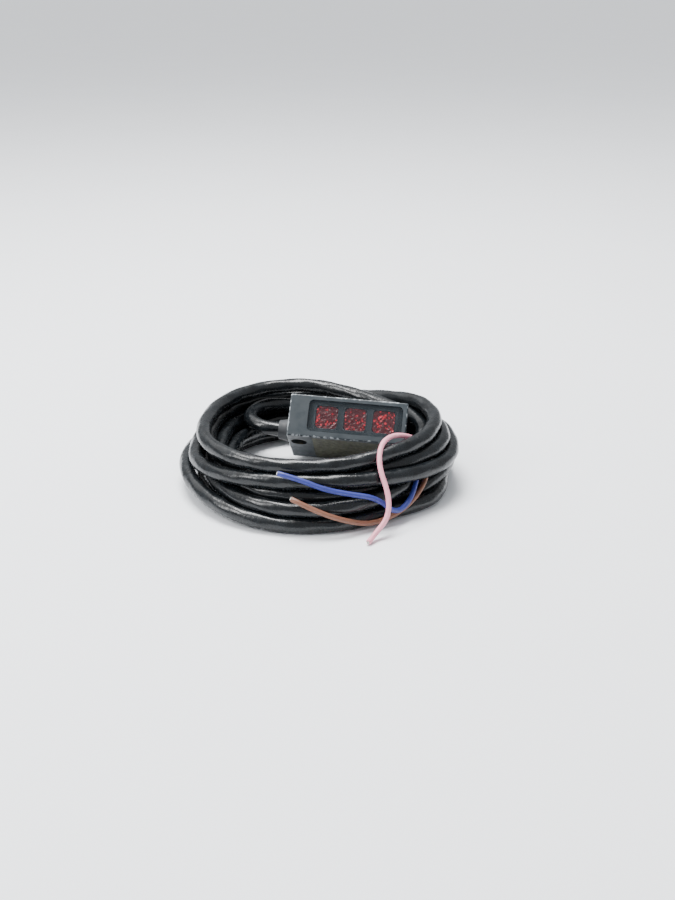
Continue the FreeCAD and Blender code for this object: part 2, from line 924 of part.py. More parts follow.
def make_inner_leads(sizes):
    """The four cores, from the end of the jacket to the main board, the nearest one first."""
    board_start = sizes.hole_end_distance + sizes.boss_radius + sizes.board_clearance
    board_back = sizes.head_depth - sizes.board_rear_distance + sizes.board_thickness
    offset = CORE_PLACE * sizes.core_spread
    tubes = []
    for number, (y_side, z_side) in enumerate([(-1, 1), (-1, -1), (1, 1), (1, -1)]):
        x = board_start + sizes.core_radius + number * sizes.core_spread
        y = cable_setback(sizes) + y_side * offset
        z = sizes.head_thickness / 2 + z_side * offset
        route = [(jacket_reach(sizes), y, z), (x, y, z), (x, board_back, z)]
        tubes.append(make_tube(f"inner lead {number}", route, sizes.core_radius))
    leads = doc.addObject("Part::Feature", "inner_leads")
    leads.Shape = Part.makeCompound(tubes)
    return leads


# ---------------------------------------------------------------- cords


def smooth_path(points, name):
    """Straight runs joined by tangent arcs, each as large as its two runs allow."""
    points = [Vector(*point) for point in points]
    edges = []
    radii = []
    here = points[0]
    for before, corner, after in zip(points, points[1:], points[2:]):
        back = (before - corner).normalize()
        ahead = (after - corner).normalize()
        shorter = min((before - corner).Length, (after - corner).Length)
        tangent_length = ARC_SHARE * shorter
        half_turn = (math.pi - back.getAngle(ahead)) / 2
        radius = tangent_length / math.tan(half_turn)
        radii.append(round(radius, 1))
        arc_start = corner + back * tangent_length
        arc_end = corner + ahead * tangent_length
        inward = (back + ahead).normalize()
        sagitta_point = corner + inward * (radius / math.cos(half_turn) - radius)
        edges.append(Part.LineSegment(here, arc_start).toShape())
        edges.append(Part.Arc(arc_start, sagitta_point, arc_end).toShape())
        here = arc_end
    edges.append(Part.LineSegment(here, points[-1]).toShape())
    print(f"{name}: arc radii {radii} mm")
    return Part.Wire(edges)


def make_tube(name, points, radius):
    """A round tube along a route, with its volume compared with its length."""
    path = smooth_path(points, name)
    start = Vector(*points[0])
    ring = Part.Circle(start, Vector(*points[1]) - start, radius)
    tube = path.makePipeShell([Part.Wire(ring.toShape())], True, False)
    expected = math.pi * radius**2 * path.Length
    print(f"{name}: length {path.Length:.1f} mm, volume {tube.Volume:.1f} of {expected:.1f}")
    if abs(tube.Volume / expected - 1) > VOLUME_TOLERANCE:
        raise RuntimeError(f"{name} has the wrong volume")
    return tube


def make_cord(name, points, radius):
    cord = doc.addObject("Part::Feature", name)
    cord.Shape = make_tube(name, points, radius)
    return cord


def make_coil():
    """The outer shape of the whole coil: a rounded oval ring lying on the floor."""
    body = make_body("cable_coil")
    outside = sketch_on(body, "coil_outside", "XY_Plane")
    draw_oval(outside, "coil_centre_x", "coil_centre_y", "coil_half_width", "coil_half_depth")
    disc = pad(body, outside, "coil_height")
    doc.recompute()
    level = disc.Shape.BoundBox.ZMax - EDGE_TOLERANCE
    edges = enumerate(disc.Shape.Edges, start=1)
    top_edges = [f"Edge{number}" for number, edge in edges if edge.BoundBox.ZMin > level]
    round_edges(body, disc, top_edges, "coil_round")
    hole = sketch_on(body, "coil_hole", "XY_Plane")
    draw_oval(
        hole,
        "coil_hole_centre_x",
        "coil_hole_centre_y",
        "(head_length / 2 + coil_side_room)",
        "coil_hole_half_depth",
    )
    pocket(body, hole, "coil_height", reverse=True)
    return body


def draw_oval(sketch, centre_x, centre_y, half_width, half_depth):
    """A rounded oval about its centre, flat only at the middle of each side."""
    draw_rectangle(
        sketch,
        f"{centre_x} - {half_width}",
        f"{centre_y} - {half_depth}",
        f"2 * {half_width}",
        f"2 * {half_depth}",
        corner=f"{OVAL_SHARE} * min({half_width}; {half_depth})",
    )


# ---------------------------------------------------------------- assembly


def make_case_parts():
    """The case, its covers, its label and the metal inserts."""
    parts = [make_housing(), make_rear_cover(), make_label(), make_panel(), make_mask()]
    return parts + [make_insert(*hole) for hole in mounting_holes()]


def make_optics():
    parts = [make_holder()]
    for name, step in WINDOW_STEPS.items():
        parts.append(make_lens(name + "_lens", step))
        parts.append(make_chip(name + "_chip", step))
    return parts


def make_electronics(sizes):
    return [
        make_main_board(),
        make_shield(),
        make_control_board(),
        make_indicator_board(),
        make_display_led("operation_led", -1),
        make_display_led("stability_led", 1),
        make_light_guide(),
        make_inner_leads(sizes),
    ]


def make_controls():
    """The two dials, what each one turns in, and their seals."""
    return [
        make_control_body("sensitivity_pot", -1),
        make_control_body("mode_switch", 1),
        make_dial("sensitivity_dial", -1),
        make_dial("mode_dial", 1),
        make_dial_seals(),
    ]


def head_placement(housing, sizes):
    """Tip the case back and stand the middle of its lowest edge on the origin."""
    rotation = FreeCAD.Rotation(sizes.head_turn, sizes.head_tilt, sizes.head_lean)
    case = housing.Shape.copy()
    case.Placement = FreeCAD.Placement(Vector(), rotation)
    bounds = case.optimalBoundingBox(False)
    centre = bounds.Center
    return FreeCAD.Placement(Vector(-centre.x, -centre.y, -bounds.ZMin), rotation)


def place_head(sizes):
    """Build the head and put every piece of it in the floor frame."""
    head_parts = make_case_parts() + make_optics() + make_electronics(sizes)
    head_parts += make_controls()
    entry_parts = [make_gland(), make_clamp()]
    doc.recompute()
    pose = head_placement(head_parts[0], sizes)
    to_cable_axis = Vector(0, cable_setback(sizes), sizes.head_thickness / 2)
    entry_pose = pose * FreeCAD.Placement(to_cable_axis, FreeCAD.Rotation())
    for part in head_parts:
        part.Placement = pose * part.Placement
    for part in entry_parts:
        part.Placement = entry_pose
    return head_parts + entry_parts, entry_pose


def make_cords(entry_pose, sizes):
    """The cable's free stretch, its coil and the stripped cores, in the floor frame."""
    start = entry_pose.multVec(Vector(jacket_reach(sizes), 0, 0))
    in_gland = entry_pose.multVec(Vector(-sizes.gland_bend_point, 0, 0))
    mouth = entry_pose.multVec(Vector(-sizes.gland_length, 0, 0))
    print(f"jacket starts at {start}, bends from {in_gland}, gland mouth at {mouth}")
    lead_points = [tuple(start), tuple(in_gland)] + LEAD_POINTS
    cords = [make_cord("cable_lead", lead_points, sizes.cable_radius), make_coil()]
    for name, points in CORE_POINTS.items():
        cords.append(make_cord(name, points, sizes.core_radius))
    return cords


def check_document(parts):
    """Stop if any object failed to build or any sub-part isn't sound."""
    for item in doc.Objects:
        if {"Invalid", "Error"} & set(item.State):
            raise RuntimeError(f"{item.Label} failed: {item.State}")
    for part in parts:
        if part.Shape.isNull() or not part.Shape.isValid() or part.Shape.Volume <= 0:
            raise RuntimeError(f"{part.Label} has no sound shape")


def main():
    sizes = make_sheet()
    head, entry_pose = place_head(sizes)
    parts = head + make_cords(entry_pose, sizes)
    doc.recompute()
    check_document(parts)
    os.makedirs("parts", exist_ok=True)
    for part in parts:
        part.Shape.exportStep(f"parts/{part.Label}.step")
    print(f"{len(parts)} sub-parts written")


main()
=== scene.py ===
"""Miniature photoelectric sensor lying in the coil of its own cable: camera, cords and finishes.

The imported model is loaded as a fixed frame. The cable and its stripped cores are rebuilt as smooth
tubes, the windows get their faceted lenses, and every node gets a procedural material.
Metres throughout, except the coil's turns, which are given in millimetres.
"""

import json
import math
import random

import bmesh
import bpy
import numpy as np
from mathutils import Matrix, Vector


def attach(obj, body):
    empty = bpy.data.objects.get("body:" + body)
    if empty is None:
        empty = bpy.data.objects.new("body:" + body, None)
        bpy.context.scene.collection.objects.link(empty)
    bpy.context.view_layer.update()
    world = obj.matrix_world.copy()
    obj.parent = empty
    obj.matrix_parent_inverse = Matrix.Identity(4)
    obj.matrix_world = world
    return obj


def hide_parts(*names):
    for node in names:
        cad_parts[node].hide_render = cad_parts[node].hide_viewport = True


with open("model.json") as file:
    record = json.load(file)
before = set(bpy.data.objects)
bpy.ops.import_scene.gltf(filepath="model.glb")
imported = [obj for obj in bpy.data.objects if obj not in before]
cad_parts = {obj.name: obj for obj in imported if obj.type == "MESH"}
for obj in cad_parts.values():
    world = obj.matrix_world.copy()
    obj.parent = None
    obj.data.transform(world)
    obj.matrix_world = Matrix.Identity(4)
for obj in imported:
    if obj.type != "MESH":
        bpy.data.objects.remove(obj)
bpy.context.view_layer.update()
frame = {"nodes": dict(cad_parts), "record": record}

MM = 0.001

# Camera: in front of the head and a little above it.
VIEW_TARGET = (-0.0031, -0.0035, 0.0072)
VIEW_ELEVATION = 25.0
VIEW_DISTANCE = 0.290
VIEW_LENS = 43.2

# The head's own frame, as in the CAD: x to the control end, y to the rear, z up through it.
NEAR_HOLE = (0.0029, 0.0056, 0.00575)
FAR_HOLE = (0.0283, 0.0160, 0.00575)
HEAD_SIZE = (0.0310, 0.0200, 0.0115)

# Cable and cores.
CABLE_RADIUS = 0.0020
CORE_RADIUS = 0.00065
LOBES = 4
LOBE_DEPTH = 0.055
LOBE_PITCH = 0.036
CABLE_SIDES = 24
CORE_SIDES = 16
END_ROUND = 0.12  # how far a cut end is rounded, as a share of the radius
STRAND_RADIUS = 0.22  # one bare strand's; this, its rise and its length are in core radii
STRAND_RISE = 0.2
STRAND_LENGTH = 0.5
STRAND_TAPER = 0.8
STRAND_SIDES = 10
LEAD_POINTS = [
    (-0.011159, 0.005017, 0.008701),
    (-0.018308, 0.005806, 0.009040),
    (-0.0253, 0.0072, 0.0095),
    (-0.0284, 0.0134, 0.0099),
    (-0.0254, 0.0197, 0.0103),
    (-0.0190, 0.0225, 0.0098),
    (-0.0122, 0.0226, 0.0088),
]
JACKET_END = (0.0196, -0.0113, 0.0105)
CORE_POINTS = {
    "pink": [
        (0.0194, -0.0110, 0.0115),
        (0.0177, -0.0148, 0.0150),
        (0.0145, -0.0176, 0.0178),
        (0.0105, -0.0200, 0.0190),
        (0.0075, -0.0244, 0.0185),
        (0.0069, -0.0296, 0.0150),
        (0.0093, -0.0338, 0.0096),
        (0.0093, -0.0368, 0.0049),
        (0.0059, -0.0392, 0.0014),
        (0.0043, -0.0419, 0.0008),
    ],
    "blue": [
        (0.0199, -0.0122, 0.0104),
        (0.0185, -0.0166, 0.0094),
        (0.0171, -0.0214, 0.0082),
        (0.0152, -0.0276, 0.0046),
        (0.0112, -0.0324, 0.0032),
        (0.0066, -0.0340, 0.0086),
        (-0.0004, -0.0344, 0.0098),
        (-0.0067, -0.0348, 0.0114),
        (-0.0123, -0.0340, 0.0136),
        (-0.0175, -0.0332, 0.0148),
    ],
    "brown": [
        (0.0205, -0.0116, 0.0096),
        (0.0203, -0.0162, 0.0080),
        (0.0189, -0.0214, 0.0060),
        (0.0155, -0.0270, 0.0038),
        (0.0107, -0.0314, 0.0022),
        (0.0049, -0.0350, 0.0018),
        (-0.0013, -0.0376, 0.0042),
        (-0.0079, -0.0380, 0.0068),
        (-0.0142, -0.0362, 0.0094),
    ],
    "black": [
        (0.0189, -0.0116, 0.0098),
        (0.0163, -0.0146, 0.0070),
        (0.0125, -0.0174, 0.0042),
        (0.0079, -0.0194, 0.0022),
        (0.0029, -0.0204, 0.0012),
        (-0.0027, -0.0204, 0.0008),
        (-0.0082, -0.0198, 0.0008),
    ],
}

# The three windows in the face, in the head's frame.
WINDOW_CENTRES = (0.00995, 0.01745, 0.02495)
WINDOW_Z = 0.00595
WINDOW_SIZE = (0.0062, 0.0066)
MASK_BACK = 0.0010
MASK_FRONT = 0.0008
LENS_BACK = 0.0022
RIM_WIDTH = 0.00030
RIM_CORNER = 0.0010
FACETS = 9
FACET_RELIEF = 0.00016
LENS_NODES = ("emitter_lens", "near_receiver_lens", "far_receiver_lens")
PLUG_GAP = 0.0001  # clearance round a window plug
RIM_OUTER_CORNER = 0.0002
CORNER_STEPS = 6
FACET_SEED = 5

# The coil, in millimetres: each turn passes behind the head, to its right, in front and to its
# left. Back and front points are (y, height), side points are (x, y, height).
COIL_BACK_X = -12.0
COIL_FRONT_X = -10.0
COIL_TURNS = [
    ((22.0, 8.2), (18.7, -3, 8.8), (-28.6, 5.4), (-33.2, -4, 5.6)),
    ((19.4, 4.4), (19.4, -5, 3.6), (-28.8, 2.0), (-35.5, -4, 2.0)),
    ((21.4, 2.0), (22.2, -6, 2.0), (-36.6, 2.0), (-43.4, -4, 5.4)),
    ((25.3, 2.0), (24.6, -6, 5.2), (-32.8, 2.0), (-39.6, -4, 2.0)),
    ((23.4, 4.8), (20.9, -5, 5.8), (-34.6, 5.2), (-37.4, -4, 5.2)),
    ((29.0, 2.0), (22.8, -5, 8.6), (-32.6, 8.3), (-34.6, -4, 8.0)),
    ((27.2, 4.8), (25.8, -9, 8.6), (-31.2, 10.8), (-40.4, -7, 8.2)),
    ((29.0, 8.0), (23.9, -9, 12.0), (-26.8, 8.8), (-37.6, -4, 10.6)),
    ((26.6, 9.6), (21.7, -4, 15.0), (-29.8, 13.8), (-38.2, -8, 15.0)),
    ((24.0, 15.0), (19.6, -3, 12.2), (-26.0, 9.0), (-33.0, -4, 9.0)),
]
COIL_END = 9.31  # turns, counted from the back
# Each corner's flatness: 1 is a quarter ellipse, and more cuts the corner off.
CORNER_FLATNESS = (0.85, 1.0, 1.0, 0.85)  # right rear, right front, left front, left rear
HIGH_FLATNESS = 0.04  # the right rear corner is cut off more for each millimetre of height
QUARTER_STEPS = 24
LEAD_OVERLAP = 4  # points at the first turn's start that the lead already covers
LAY_STEP = 2.0  # spacing of the points that the coil is settled with
LAY_GAP = 3.85  # distance kept between two strands
LAY_ROUNDS = 200
PAIR_ROUNDS = 10  # rounds between two searches for neighbouring strands
SAME_STRAND = 2.2  # gaps along the cable within which points aren't neighbours
PAIR_REACH = 3.5  # how much farther than the gap neighbours are looked for
PUSHES = 3  # pushes apart in each round
PUSH_SHARE = 0.8
HOME_PULL = 0.05
BEND_PULL = 0.3
BEND_SPANS = (1, 2, 4)
POST_STEP = 1.5  # spacing of the points that stand for a core
POST_SKIP = 3  # points at a core's start, inside the jacket, that push nothing
POST_REACH = 8.0
HEAD_ROOM = 1.15  # room between a strand's middle and the head, in cable radii
LOW_STRAND = 3  # a strand lower than this many rooms leaves the head sideways
CONTROL_STEP = 3  # settled points for each control point of the cable's spline

FLOOR_SIZE = 3.0
LIGHT_TARGET = (0.0, 0.0, 0.01)


# ---------------------------------------------------------------- frames and camera


def head_matrix():
    """The head's frame in the row frame, from its two mounting holes."""
    mounts = {mount["name"]: mount for mount in frame["record"]["mounts"]}
    near = Vector(mounts["near_mounting_hole"]["pos_m"])
    far = Vector(mounts["far_mounting_hole"]["pos_m"])
    up = Vector(mounts["near_mounting_hole"]["axis"]).normalized()
    slant = math.atan2(FAR_HOLE[1] - NEAR_HOLE[1], FAR_HOLE[0] - NEAR_HOLE[0])
    across = (far - near).normalized()
    along = Matrix.Rotation(-slant, 3, up) @ across
    along = (along - up * along.dot(up)).normalized()
    back = up.cross(along)
    turn = Matrix((along, back, up)).transposed()
    return Matrix.Translation(near - turn @ Vector(NEAR_HOLE)) @ turn.to_4x4()


HEAD = head_matrix()


def make_camera():
    """The scene's camera, which looks along +Y and down at its target."""
    data = bpy.data.cameras.new("camera")
    data.lens = VIEW_LENS
    data.clip_start = 0.01
    data.clip_end = 10.0
    camera = bpy.data.objects.new("camera", data)
    tilt = math.radians(VIEW_ELEVATION)
    back = Vector((0.0, -math.cos(tilt), math.sin(tilt)))
    camera.location = Vector(VIEW_TARGET) + back * VIEW_DISTANCE
    camera.rotation_euler = (math.radians(90.0 - VIEW_ELEVATION), 0.0, 0.0)
    bpy.context.scene.collection.objects.link(camera)
    bpy.context.scene.camera = camera


# ---------------------------------------------------------------- the coil's route


def quarter(start, end, sideways_first, flatness):
    """Points of a quarter ellipse between two of a turn's outermost points."""
    points = []
    for step in range(QUARTER_STEPS):
        angle = math.pi / 2 * step / QUARTER_STEPS
        rise, fall = math.sin(angle), math.cos(angle)
        gone, left = rise**flatness, fall**flatness
        if sideways_first:
            x = start[0] + (end[0] - start[0]) * gone
            y = end[1] + (start[1] - end[1]) * left
        else:
            x = end[0] + (start[0] - end[0]) * left
            y = start[1] + (end[1] - start[1]) * gone
        points.append((x, y, start[2] * fall**2 + end[2] * rise**2))
    return points


def coil_points():
    """The laid-out coil in millimetres, before it settles."""
    stations = []
    for back, right, front, left in COIL_TURNS:
        stations += [(COIL_BACK_X, *back), right, (COIL_FRONT_X, *front), left]
    points = []
    for number, (start, end) in enumerate(zip(stations, stations[1:])):
        flatness = CORNER_FLATNESS[number % 4]
        if number % 4 == 0:
            flatness += HIGH_FLATNESS * (start[2] + end[2]) / 2
        points += quarter(start, end, number % 2 == 0, flatness)
    return points[: int(COIL_END * 4 * QUARTER_STEPS)]


def evenly(points, step):
    """The same line with points a given distance apart."""
    points = np.asarray(points, float)
    reach = np.concatenate([[0.0], np.cumsum(np.linalg.norm(np.diff(points, axis=0), axis=1))])
    wanted = np.linspace(0.0, reach[-1], int(round(reach[-1] / step)) + 1)
    return np.stack([np.interp(wanted, reach, points[:, axis]) for axis in range(3)], axis=1)


def settle(points, held, posts):
    """Push the coil's strands apart, off the floor, off the head and off the stripped cores."""
    home = points.copy()
    free = ~held
    count = len(points)
    place = np.arange(count)
    skip = int(SAME_STRAND * LAY_GAP / LAY_STEP)
    post_gap = (CABLE_RADIUS + CORE_RADIUS) / MM
    for turn in range(LAY_ROUNDS):
        if turn % PAIR_ROUNDS == 0:
            apart = ((points[:, None] - points[None]) ** 2).sum(2)
            near = (apart < (LAY_GAP + PAIR_REACH) ** 2) & (place[None] - place[:, None] > skip)
            first, second = np.where(near)
            to_post = ((points[:, None] - posts[None]) ** 2).sum(2)
            strand, post = np.where(to_post < POST_REACH**2)
        pull = HOME_PULL * (1 - turn / LAY_ROUNDS)
        points[free] += pull * (home[free] - points[free])
        for span in BEND_SPANS:
            drift = points - home
            ease = np.zeros_like(points)
            middle = 0.5 * (drift[2 * span :] + drift[: -2 * span])
            ease[span:-span] = BEND_PULL / span * (middle - drift[span:-span])
            points[free] += ease[free]
        for _ in range(PUSHES):
            separate(points, first, second, free)
            keep_off_posts(points, posts, strand, post, post_gap, free)
            keep_off_head(points, free)
            points[free, 2] = np.maximum(points[free, 2], CABLE_RADIUS / MM)
    return points


def spread(owner, values, count):
    """Add up each owner's rows of values."""
    return np.stack([np.bincount(owner, values[:, axis], count) for axis in range(3)], axis=1)


def separate(points, first, second, free):
    """Push neighbouring strands apart until they are the gap apart."""
    between = points[first] - points[second]
    distance = np.linalg.norm(between, axis=1) + 1e-9
    push = np.maximum(LAY_GAP - distance, 0.0) / distance / 2
    count = len(points)
    move = spread(first, between * push[:, None], count)
    move -= spread(second, between * push[:, None], count)
    touching = (push > 0).astype(float)
    shares = np.bincount(first, touching, count) + np.bincount(second, touching, count)
    move /= np.sqrt(np.maximum(shares, 1.0))[:, None]
    points[free] += PUSH_SHARE * move[free]


def keep_off_posts(points, posts, strand, post, gap, free):
    """Push the strands away from the stripped cores, which stay where they are."""
    between = points[strand] - posts[post]
    distance = np.linalg.norm(between, axis=1) + 1e-9
    push = np.maximum(gap - distance, 0.0) / distance
    count = len(points)
    shares = np.bincount(strand, (push > 0).astype(float), count)
    move = spread(strand, between * push[:, None], count) / np.maximum(shares, 1.0)[:, None]
    points[free] += move[free]


def keep_off_head(points, free):
    """Move any point that is too near the head out through its nearest side.

    A strand near the floor has no way down or back, so it leaves by one of the head's ends.
    """
    turn = np.array(HEAD.to_3x3())
    origin = np.array(HEAD.translation) / MM
    local = (points - origin) @ turn
    room = HEAD_ROOM * CABLE_RADIUS / MM
    top = np.array(HEAD_SIZE) / MM + room
    inside = np.where(((local > -room) & (local < top)).all(1) & free)[0]
    if not len(inside):
        return
    depths = np.concatenate([local[inside] + room, top - local[inside]], axis=1)
    near_floor = points[inside, 2] < LOW_STRAND * room
    depths[np.ix_(near_floor, (1, 2, 4, 5))] = np.inf
    for row, side in zip(inside, depths.argmin(1)):
        local[row, side % 3] = -room if side < 3 else top[side - 3]
    points[inside] = local[inside] @ turn.T + origin


def cable_points():
    """Control points of the whole cable: the free lead, then the settled turns."""
    lead = np.array(LEAD_POINTS) / MM
    posts = np.concatenate([core_posts(points) for points in CORE_POINTS.values()])
    rough = evenly(np.concatenate([lead, coil_points()[LEAD_OVERLAP:]]), LAY_STEP)
    last_held = int(np.linalg.norm(rough - lead[-2], axis=1).argmin())
    held = np.arange(len(rough)) < last_held
    settled = settle(rough, held, posts)
    turns = settled[last_held + CONTROL_STEP :: CONTROL_STEP]
    return LEAD_POINTS[:-1] + [tuple(point * MM) for point in turns] + [JACKET_END]


def core_posts(points):
    """Points along a stripped core that the cable keeps clear of, in millimetres."""
    return evenly(np.array(spline_line(points)) / MM, POST_STEP)[POST_SKIP:]


# ---------------------------------------------------------------- tubes


def spline_line(points):
    """Points along the smooth curve that has the given control points."""
    data = bpy.data.curves.new("route", "CURVE")
    data.dimensions = "3D"
    data.resolution_u = 6
    spline = data.splines.new("NURBS")
    spline.points.add(len(points) - 1)
    for knot, point in zip(spline.points, points):
        knot.co = (*point, 1.0)
    spline.order_u = 3
    spline.use_endpoint_u = True
    holder = bpy.data.objects.new("route", data)
    mesh = bpy.data.meshes.new_from_object(holder)
    line = [vertex.co.copy() for vertex in mesh.vertices]
    bpy.data.objects.remove(holder)
    bpy.data.curves.remove(data)
    bpy.data.meshes.remove(mesh)
    return line


def new_piece(name, mesh, material, body="root", smooth=True):
    """Put a mesh in the scene as a piece that rides on a body."""
    piece = bpy.data.objects.new(name, mesh)
    bpy.context.scene.collection.objects.link(piece)
    mesh.materials.append(material)
    for polygon in mesh.polygons:
        polygon.use_smooth = smooth
    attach(piece, body)
    return piece


def tube_frames(line):
    """A point, direction and two side vectors at each place along a line, without twist."""
    ahead = (line[1] - line[0]).normalized()
    side = ahead.orthogonal().normalized()
    frames = []
    for number, point in enumerate(line):
        after = line[min(number + 1, len(line) - 1)]
        before = line[max(number - 1, 0)]
        direction = (after - before).normalized()
        side = (side - direction * side.dot(direction)).normalized()
        frames.append((point, direction, side, direction.cross(side)))
    return frames


def make_tube(name, line, radius, sides, lobes=0, depth=0.0, pitch=1.0):
    """A closed tube along a line, with lobes that twist round it and a slightly rounded cut end."""
    frames = tube_frames(line)
    first, last = frames[0], frames[-1]
    inset = radius * END_ROUND
    frames = [first, *frames, last]
    scales = [1.0 - END_ROUND, *[1.0] * len(line), 1.0 - END_ROUND]
    shifts = [-inset, *[0.0] * len(line), inset]
    body = bmesh.new()
    rings = []
    travelled = 0.0
    for number, (point, direction, side, other) in enumerate(frames):
        if number:
            travelled += (point - frames[number - 1][0]).length
        ring = []
        for step in range(sides):
            angle = 2 * math.pi * step / sides
            swell = 0.5 - 0.5 * math.cos(lobes * (angle - 2 * math.pi * travelled / pitch))
            reach = radius * scales[number] * (1.0 - depth * swell)
            out = side * math.cos(angle) + other * math.sin(angle)
            ring.append(body.verts.new(point + direction * shifts[number] + out * reach))
        rings.append(ring)
    for here, there in zip(rings, rings[1:]):
        for step in range(sides):
            following = (step + 1) % sides
            body.faces.new((here[step], here[following], there[following], there[step]))
    body.faces.new(rings[0][::-1])
    body.faces.new(rings[-1])
    mesh = bpy.data.meshes.new(name)
    body.to_mesh(mesh)
    body.free()
    return mesh


def make_cable(materials):
    """The jacketed cable from the gland to the stripped end."""
    line = spline_line(cable_points())
    mesh = make_tube("cable", line, CABLE_RADIUS, CABLE_SIDES, LOBES, LOBE_DEPTH, LOBE_PITCH)
    cable = new_piece("cable", mesh, materials["cable_jacket"])
    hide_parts("cable_lead", "cable_coil")


def make_core(colour, points, materials):
    """One stripped core: its insulation, and the bare strands just proud of the cut."""
    line = spline_line(points)
    slot = f"{colour}_insulation"
    mesh = make_tube(f"core_{colour}", line, CORE_RADIUS, CORE_SIDES)
    core = new_piece(f"core_{colour}", mesh, materials[slot])
    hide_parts(f"wire_{colour}")
    strands = make_conductor(colour, line, materials)


def make_conductor(colour, line, materials):
    """Seven fine strands that stand a little out of the insulation."""
    strand_radius = STRAND_RADIUS * CORE_RADIUS
    point, direction, side, other = tube_frames(line)[-1]
    body = bmesh.new()
    offsets = [(0.0, 0.0)]
    offsets += [(math.cos(turn * math.pi / 3), math.sin(turn * math.pi / 3)) for turn in range(6)]
    for across, up in offsets:
        centre = point + (side * across + other * up) * 2 * strand_radius
        matrix = Matrix((side, other, direction)).transposed().to_4x4()
        matrix.translation = centre + direction * STRAND_RISE * CORE_RADIUS
        bmesh.ops.create_cone(
            body,
            cap_ends=True,
            segments=STRAND_SIDES,
            radius1=strand_radius,
            radius2=STRAND_TAPER * strand_radius,
            depth=STRAND_LENGTH * CORE_RADIUS,
            matrix=matrix,
        )
    mesh = bpy.data.meshes.new(f"strands_{colour}")
    body.to_mesh(mesh)
    body.free()
    return new_piece(f"strands_{colour}", mesh, materials["clamp_steel"])


# ---------------------------------------------------------------- window details


def in_head(x, y, z):
    """A place in the head's frame, as a place in the scene."""
    return HEAD @ Vector((x, y, z))


def make_lens(number, materials):
    """A window plug with a facetted front, which breaks up the light behind the panel."""
    node = LENS_NODES[number]
    rng = random.Random(number + FACET_SEED)
    wide, tall = (size - PLUG_GAP for size in WINDOW_SIZE)
    low_x = WINDOW_CENTRES[number] - wide / 2
    low_z = WINDOW_Z - tall / 2
    body = bmesh.new()
    grid = []
    for column in range(FACETS + 1):
        row = []
        for level in range(FACETS + 1):
            edge = column in (0, FACETS) or level in (0, FACETS)
            sink = 0.0 if edge else rng.uniform(0.0, FACET_RELIEF)
            x = low_x + wide * column / FACETS
            z = low_z + tall * level / FACETS
            row.append(body.verts.new(in_head(x, MASK_BACK + sink, z)))
        grid.append(row)
    for left, right in zip(grid, grid[1:]):
        for level in range(FACETS):
            body.faces.new((left[level], right[level], right[level + 1]))
            body.faces.new((left[level], right[level + 1], left[level + 1]))
    border = [row[0] for row in grid] + grid[-1][1:]
    border += [row[-1] for row in reversed(grid[:-1])] + grid[0][-2:0:-1]
    depth = HEAD.to_3x3() @ Vector((0.0, LENS_BACK - MASK_BACK, 0.0))
    rear = [body.verts.new(vertex.co + depth) for vertex in border]
    for step in range(len(border)):
        following = (step + 1) % len(border)
        body.faces.new((border[following], border[step], rear[step], rear[following]))
    body.faces.new(rear)
    bmesh.ops.recalc_face_normals(body, faces=body.faces)
    mesh = bpy.data.meshes.new(f"{node}_facets")
    body.to_mesh(mesh)
    body.free()
    lens = new_piece(f"{node}_facets", mesh, materials["red_window"], smooth=False)
    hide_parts(node)


def rounded_square(centre_x, centre_z, half_wide, half_tall, corner):
    """Corner points (x, z) of a rounded rectangle, anticlockwise."""
    points = []
    for turn, (across, up) in enumerate(((1, 1), (-1, 1), (-1, -1), (1, -1))):
        x = centre_x + across * (half_wide - corner)
        z = centre_z + up * (half_tall - corner)
        for step in range(CORNER_STEPS + 1):
            angle = math.pi / 2 * (turn + step / CORNER_STEPS)
            points.append((x + corner * math.cos(angle), z + corner * math.sin(angle)))
    return points


def make_rim(number, materials):
    """The thin rounded frame just inside a window's opening."""
    half_wide, half_tall = (size / 2 for size in WINDOW_SIZE)
    centre = WINDOW_CENTRES[number]
    outer = rounded_square(centre, WINDOW_Z, half_wide, half_tall, RIM_OUTER_CORNER)
    inner = rounded_square(
        centre, WINDOW_Z, half_wide - RIM_WIDTH, half_tall - RIM_WIDTH, RIM_CORNER
    )
    body = bmesh.new()
    loops = []
    for outline, depth in ((outer, MASK_BACK), (outer, MASK_FRONT), (inner, MASK_BACK)):
        loops.append([body.verts.new(in_head(x, depth, z)) for x, z in outline])
    count = len(outer)
    for here, there in zip(loops, loops[1:] + loops[:1]):
        for step in range(count):
            following = (step + 1) % count
            body.faces.new((here[step], here[following], there[following], there[step]))
    bmesh.ops.recalc_face_normals(body, faces=body.faces)
    mesh = bpy.data.meshes.new(f"window_rim_{number + 1}")
    body.to_mesh(mesh)
    body.free()
    new_piece(f"window_rim_{number + 1}", mesh, materials["mask_film"])


# ---------------------------------------------------------------- materials


